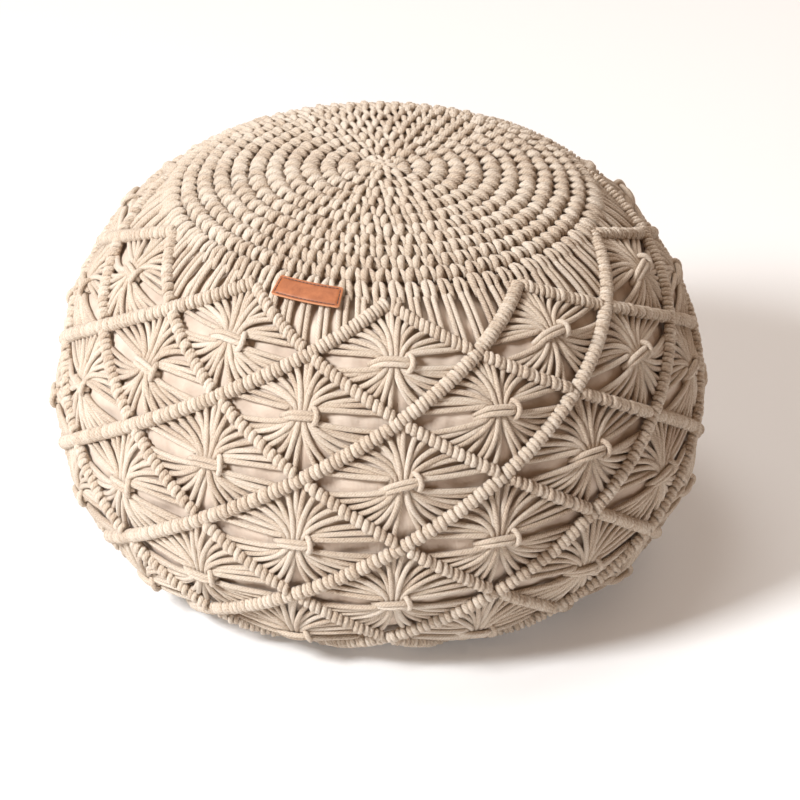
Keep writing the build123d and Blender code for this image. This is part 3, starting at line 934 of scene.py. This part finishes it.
def make_lining():
    """The stuffed canvas lining: a grid of azimuth by arc length from the pole to the foot. It
    is held down under the ribs and the disc, and swells in the windows between them."""
    around, down = LINING_GRID
    azimuth = np.linspace(0, TURN, around, endpoint=False)
    azimuth, arc = np.meshgrid(azimuth, np.linspace(0.6, WHOLE_ARC, down))
    distance = rib_distance(azimuth, arc)
    window = np.clip((arc - DISC_EDGE) / 12, 0, 1) * np.clip((WHOLE_ARC - arc) / 30, 0, 1)
    swell = 1.0 * np.clip(distance / 24, 0, 1) ** 0.7 * window
    points = surface(azimuth, arc, -NET_DEPTH + swell)
    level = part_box("base_panel_front")[1].z / MM + 1.4
    inwards = np.array(FOOT_ROWS)[:, None]
    under = points[-1] * inwards[..., None]
    under[..., 2] = level
    points = np.concatenate([points, under])
    held = (distance < HELD_BY_RIB) | (arc < DISC_EDGE) | (arc > WHOLE_ARC - 12)
    held = np.concatenate([held, np.ones((len(under), around), bool)])
    run = np.concatenate([arc[:, 0], WHOLE_ARC + FOOT_RADIUS * (1 - inwards[:, 0])])
    quads, row, column = grid_quads(len(run), around, True)
    width = WIDEST_RADIUS * TURN / around
    u0, u1 = column * width, (column + 1) * width
    v0, v1 = run[row], run[row + 1]
    uv = corner_uvs(((u0, v0), (u0, v1), (u1, v1), (u1, v0)))
    caps = [np.arange(around), (len(run) - 1) * around + np.arange(around)[::-1]]
    data = (points.reshape(-1, 3), quads, caps, uv, np.full(held.size, 0.5))
    piece = make_piece(
        "stuffed_lining", [data], CANVAS,
        replaces=["lining_top", "lining_side", "inner_bag_top", "inner_bag_bottom", "filling"],
    )
    puff_up(piece, held.ravel(), PUFF_MOST)
    finer = piece.modifiers.new("finer", "SUBSURF")
    finer.levels = finer.render_levels = 1


def make_base():
    """The canvas base, in two halves with the zip's mouth between them. Across runs from rim
    to rim; out runs from the mouth to the rim, and the cloth hangs lowest half way out."""
    low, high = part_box("base_panel_front")
    rim, level = high.x / MM, low.z / MM
    across = rim * np.sin(np.linspace(-0.5, 0.5, 97) * math.pi * 0.985)
    out = np.linspace(0, 1, 40)[:, None]
    closing = np.clip((np.abs(across) - MOUTH_END) / 6, 0, 1)
    inner = MOUTH_HALF * (1 - closing * closing * (3 - 2 * closing)) + 0.15
    outer = np.sqrt(rim ** 2 - across ** 2)
    for side, word in ((-1, "front"), (1, "back")):
        y = inner + (outer - inner) * out
        x = np.broadcast_to(across, y.shape)
        hang = np.clip((y - TAPE_CLEAR) / np.maximum(outer - TAPE_CLEAR, 1), 0, 1)
        ripple = 0.35 * np.sin(x / 19 + side) * np.sin(y / 23)
        fade = np.clip((rim - np.abs(x)) / 60, 0, 1) ** 0.5
        z = level - (PANEL_BULGE + ripple) * np.sin(math.pi * hang) ** 0.8 * fade
        points = np.stack([x, side * y, z], -1).reshape(-1, 3)
        quads, _, _ = grid_quads(*y.shape, False)
        if side < 0:
            quads = quads[:, ::-1]
        data = (points, quads, [], points[quads.ravel(), :2], np.full(y.size, 0.5))
        piece = make_piece(
            f"base_canvas_{word}", [data], CANVAS, replaces=[f"base_panel_{word}"]
        )
        wall = piece.modifiers.new("cloth_thickness", "SOLIDIFY")
        wall.thickness = BASE_CLOTH * MM
        wall.offset = -1


def make_zip():
    """The zip's cloth and coil: tapes with a beaded edge and a faint ripple, rows of rounded
    teeth that all but meet in the middle, and a row of lockstitches along each tape."""
    low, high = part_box("zip_tape_front")
    end, bottom, top = high.x / MM, low.z / MM, high.z / MM
    edge, selvedge = -high.y / MM, -low.y / MM
    x = np.linspace(-end, end, 121)[:, None]
    share = np.array([0.02, 0.06, 0.12, 0.5, 0.9, 1.0, 1.0, 0.9, 0.5, 0.12, 0.06, 0.02])
    y = edge + (selvedge - edge) * share
    z = np.array([0.0, 0.05, -0.05, -0.05, -0.05, -0.2, -0.65, -0.75, -0.72, -0.75, -0.85, -0.8]) + top
    coil_low, coil_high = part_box("zip_teeth_front")
    teeth = np.arange(coil_low.x / MM + 1.2, coil_high.x / MM - 0.6, COIL_PITCH)
    inner = -coil_high.y / MM
    for side, word in ((-1, "front"), (1, "back")):
        ripple = 0.06 * np.sin(x / 7 + side)
        loop = [x + 0 * y, side * y + 0 * x, z - 0.1 + ripple * (y > edge + 2)]
        points = np.stack(loop, -1)
        quads, _, _ = grid_quads(*points.shape[:2], True)
        caps = [np.arange(len(y)), (len(x) - 1) * len(y) + np.arange(len(y))[::-1]]
        if side < 0:
            quads, caps = quads[:, ::-1], [cap[::-1] for cap in caps]
        points = points.reshape(-1, 3)
        data = (points, quads, caps, points[quads.ravel(), :2], np.full(len(points), 0.5))
        make_piece(f"woven_tape_{word}", [data], TAPE, replaces=[f"zip_tape_{word}"])
        tooth = [(inner + 2.2, -0.75), (inner + 1.3, -1.15), (inner + 0.4, -1.2), (inner - 0.1, -1.2)]
        tooth = smooth_curve(tooth, 5)
        path = np.zeros((len(teeth), len(tooth), 3))
        path[..., 0] = teeth[:, None] + COIL_PITCH / 2 * (side > 0)
        path[..., 1] = side * tooth[:, 0]
        path[..., 2] = top + tooth[:, 1]
        widths = np.array([0.75, 0.8, 0.95, 0.7, 0.35])[None]
        coil = sweep(path, np.array([0, 0, 1.0]), widths, 0.9, 6)
        make_piece(f"coil_teeth_{word}", [coil], NYLON, replaces=[f"zip_teeth_{word}"])
    x = np.arange(-end + 4, end - 4, TAPE_STITCH)
    parts = []
    for side in (-1, 1):
        middle = np.stack([x, np.full(len(x), side * (selvedge - 3)), np.full(len(x), bottom)], -1)
        offsets = smooth_curve([(-1.4, 0, 0.5), (-1.0, 0, -0.12), (1.0, 0, -0.12), (1.4, 0, 0.5)], 6)
        parts.append(sweep(middle[:, None] + offsets[None], np.array([0, 0, -1.0]), 0.28, 0.25, 6))
    make_piece("zip_tape_stitches", parts, COTTON)


def make_hem():
    """The hem rope: slanted hitches round a carrier, pressed flat underneath."""
    count = 200
    _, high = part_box("hem_ring")
    azimuth = np.arange(count) / count * TURN + chance.normal(0, 0.0015, count)
    radius, middle = high.x / MM - ROPE_RADIUS, high.z / MM - ROPE_RADIUS
    out = np.stack([np.sin(azimuth), -np.cos(azimuth), 0 * azimuth], -1)
    along = np.stack([np.cos(azimuth), np.sin(azimuth), 0 * azimuth], -1)
    angle = np.linspace(0, TURN, 12, endpoint=False)
    cosine, sine = np.cos(angle)[None, :, None], np.sin(angle)[None, :, None]
    away = cosine * out[:, None] + sine * np.array([0, 0, 1.0])
    path = out[:, None] * radius + np.array([0, 0, middle]) + 3.6 * away + 1.2 * cosine * along[:, None]
    points, *rest = sweep(path, away, 2.9, 2.4, 6, closed=True)
    points[:, 2] = np.maximum(points[:, 2], 0.0)
    cord_piece("hem_hitches", [(points, *rest)], "hem_ring")


def rounded_rectangle(half_x, half_y, corner):
    """A rectangle with rounded corners, started at the right end: each corner is a quarter
    circle of 8 points, and evenly spaced points fill the side that follows it."""
    quarter = np.linspace(0, math.pi / 2, 8)
    corners = []
    for turn, (side_x, side_y) in enumerate([(1, 1), (-1, 1), (-1, -1), (1, -1)]):
        angle = quarter + turn * math.pi / 2
        middle = np.array([side_x * (half_x - corner), side_y * (half_y - corner)])
        corners.append(middle + corner * np.stack([np.cos(angle), np.sin(angle)], -1))
    outline = []
    for turn, filling in enumerate((44, 16, 44, 16)):
        share = np.linspace(0, 1, filling + 2)[1:-1, None]
        outline += [corners[turn], corners[turn][-1] * (1 - share) + corners[(turn + 1) % 4][0] * share]
    return np.concatenate(outline)


def on_label(flat, height):
    """Points of the label from flat millimetres: tilted, then laid round the cushion."""
    x = flat[..., 0] * math.cos(LABEL_TILT) - flat[..., 1] * math.sin(LABEL_TILT)
    y = flat[..., 0] * math.sin(LABEL_TILT) + flat[..., 1] * math.cos(LABEL_TILT)
    return surface(LABEL_AZIMUTH + x / radius_at(LABEL_ARC), LABEL_ARC + y, LABEL_STANDOFF + height)


def make_label():
    """The leather label: rounded rectangles one inside another, from the middle of the back
    round the cut edge to the middle of the face, with a tooled groove along the stitches.
    Each ring is an inset from the outline, a height and a tone, which is high on the cut."""
    face = LABEL_THICK
    rings = [
        (9.2, 0.0, 0.1), (5.0, 0.0, 0.1), (0.5, 0.0, 0.4), (0.0, 0.35, 1.0), (0.0, face - 0.45, 1.0),
        (0.2, face - 0.12, 0.75), (0.7, face, 0.2), (1.4, face, 0.1), (1.75, face - 0.25, 0),
        (2.25, face - 0.25, 0), (2.6, face, 0.1), (4.5, face + 0.05, 0.1), (7.0, face + 0.05, 0.1),
        (9.2, face + 0.05, 0.1),
    ]
    flat = np.stack([
        rounded_rectangle(LABEL_HALF[0] - inset, LABEL_HALF[1] - inset, max(LABEL_CORNER - inset, 0.03))
        for inset, _, _ in rings
    ])
    count = flat.shape[1]
    height = np.array([level for _, level, _ in rings])[:, None] * np.ones(count)
    points = on_label(flat, height).reshape(-1, 3)
    quads, _, _ = grid_quads(len(rings), count, True)
    last = (len(rings) - 1) * count
    tone = np.repeat(np.array([cut for _, _, cut in rings]), count)
    uv = flat.reshape(-1, 2)[quads.ravel()]
    data = (points, quads, [np.arange(count), last + np.arange(count)[::-1]], uv, tone)
    make_piece("leather_tag", [data], LEATHER, replaces=["leather_label"])
    places, turns = [], []
    half_x, half_y = LABEL_HALF[0] - STITCH_INSET, LABEL_HALF[1] - STITCH_INSET
    for half, other, turned in ((half_x, half_y, 0), (half_y, half_x, 1)):
        fitted = int(2 * half / STITCH_STEP)
        step = (np.arange(fitted) - (fitted - 1) / 2) * STITCH_STEP
        for side in (-1, 1):
            spots = np.stack([step, np.full(len(step), side * other)], -1)
            places.append(spots[:, ::-1] if turned else spots)
            turns.append(np.full(len(step), turned))
    places, turns = np.concatenate(places), np.concatenate(turns)
    run = smooth_curve([(-1.15, -0.5), (-0.85, 0.12), (0.85, 0.12), (1.15, -0.5)], 7)
    flat = places[:, None] + run[None, :, :1] * np.stack([1 - turns, turns], -1)[:, None]
    height = LABEL_THICK - 0.15 + run[None, :, 1] + 0 * flat[..., 0]
    up = outward(np.array([LABEL_AZIMUTH]), np.array([LABEL_ARC]))[0]
    stitches = sweep(on_label(flat, height), up, 0.42, 0.36, 6)
    make_piece("tag_stitches", [stitches], THREAD, replaces=["label_stitching"])


def dress_zip():
    """Nickel for the zip's metal parts, which keep their shape."""
    for node in ("zip_stops", "zip_slider", "zip_puller"):
        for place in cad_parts[node].material_slots:
            place.material = NICKEL


make_disc()
make_ribs()
make_fans()
make_fringe()
make_lining()
make_base()
make_zip()
make_hem()
make_label()
dress_zip()


# ---- camera, light and floor ----

FLOOR_GLOW = 0.12
AIR_COLOUR = (1.0, 0.64, 0.42, 1)
AIR_STRENGTH = 0.24
LAMPS = (
    ("key", (-2.5, -1.8, 2.6), 0.9, 190.0, (0.98, 0.99, 1.0)),
    ("top_light", (-0.6, 0.4, 3.2), 1.4, 30.0, (1.0, 0.98, 0.95)),
    ("back_fill", (1.4, 2.4, 2.2), 2.0, 20.0, (1.0, 0.90, 0.80)),
)


def make_stage():
    """A plain pale floor, a large soft key light from the front left, and warm air around."""
    scene = bpy.context.scene
    scene.view_settings.view_transform = "Standard"
    pale = Recipe("pale_floor", 0.9)
    pale.shader.inputs["Base Color"].default_value = (0.86, 0.87, 0.88, 1)
    pale.shader.inputs["Emission Color"].default_value = (1, 1, 1, 1)
    pale.shader.inputs["Emission Strength"].default_value = FLOOR_GLOW
    mesh = bpy.data.meshes.new("floor")
    reach = 14.0
    corners = [(x * reach, y * reach, -0.0005) for x, y in ((-1, -1), (1, -1), (1, 1), (-1, 1))]
    mesh.from_pydata(corners, [], [(0, 1, 2, 3)])
    mesh.materials.append(pale.made)
    floor = bpy.data.objects.new("floor", mesh)
    scene.collection.objects.link(floor)
    world = bpy.data.worlds.new("studio")
    world.use_nodes = True
    air = world.node_tree.nodes["Background"]
    air.inputs["Color"].default_value = AIR_COLOUR
    air.inputs["Strength"].default_value = AIR_STRENGTH
    scene.world = world
    for name, place, size, power, colour in LAMPS:
        lamp = bpy.data.lights.new(name, "AREA")
        lamp.energy, lamp.size, lamp.color = power, size, colour
        thing = bpy.data.objects.new(name, lamp)
        scene.collection.objects.link(thing)
        thing.location = place
        aim = np.array([0, 0, 0.17]) - np.array(place)
        thing.rotation_euler = direction_to_euler(aim)


def direction_to_euler(aim):
    """Turn that points an object's -Z axis along aim with its +Y axis up."""
    return Vector(aim).to_track_quat("-Z", "Y").to_euler()


def make_camera():
    """A long lens, 29 degrees above the floor, a little off to one side and rolled a little."""
    elevation, roll, distance = math.radians(29), math.radians(1.0), 4.0
    shift_right, shift_down = 0.0165, 0.0428
    back = np.array([0, -math.cos(elevation), math.sin(elevation)])
    up = np.array([0, math.sin(elevation), math.cos(elevation)])
    aim = np.array([shift_right, 0, HEIGHT * MM / 2]) - shift_down * up
    data = bpy.data.cameras.new("camera")
    data.sensor_width = 36
    data.lens = 218.5
    camera = bpy.data.objects.new("camera", data)
    bpy.context.scene.collection.objects.link(camera)
    camera.location = aim + back * distance
    turn = Vector(-back).to_track_quat("-Z", "Y").to_matrix().to_4x4()
    camera.matrix_world = Matrix.Translation(camera.location) @ turn @ Matrix.Rotation(roll, 4, "Z")
    bpy.context.scene.camera = camera


make_stage()
make_camera()
